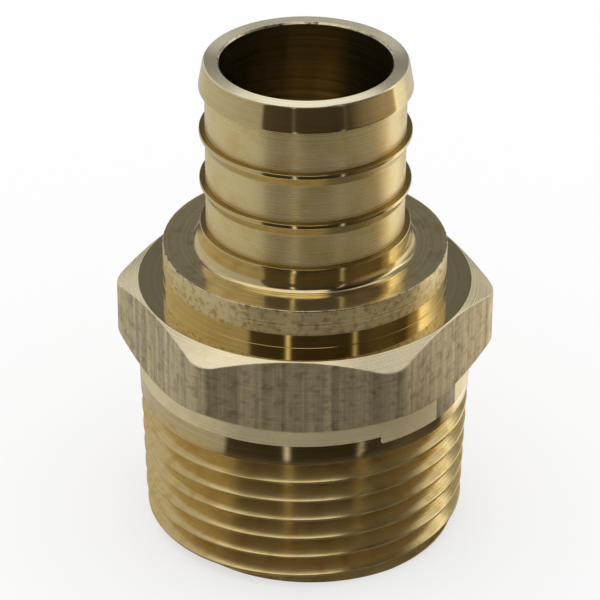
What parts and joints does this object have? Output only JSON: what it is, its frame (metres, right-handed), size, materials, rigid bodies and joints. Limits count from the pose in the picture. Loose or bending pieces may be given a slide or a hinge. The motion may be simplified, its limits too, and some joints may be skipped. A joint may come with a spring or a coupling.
{
  "type": "pipe adapter fitting",
  "caption": "Brass adapter with a ribbed spigot for crimped plastic tube, a wrench hexagon and a tapered male pipe thread, bored through.",
  "frame": {"origin": "centre of the flat threaded end, on the fitting's axis", "axes": "+Z along the axis from the threaded end to the tip of the spigot, -Y square to one wrench flat, +X to the right through a corner of the hexagon"},
  "size_m": [0.0304, 0.027, 0.0408],
  "materials": {
    "brass": "turned, bright"
  },
  "bodies": {
    "root": {"fitting_body": "brass"}
  },
  "joints": []
}
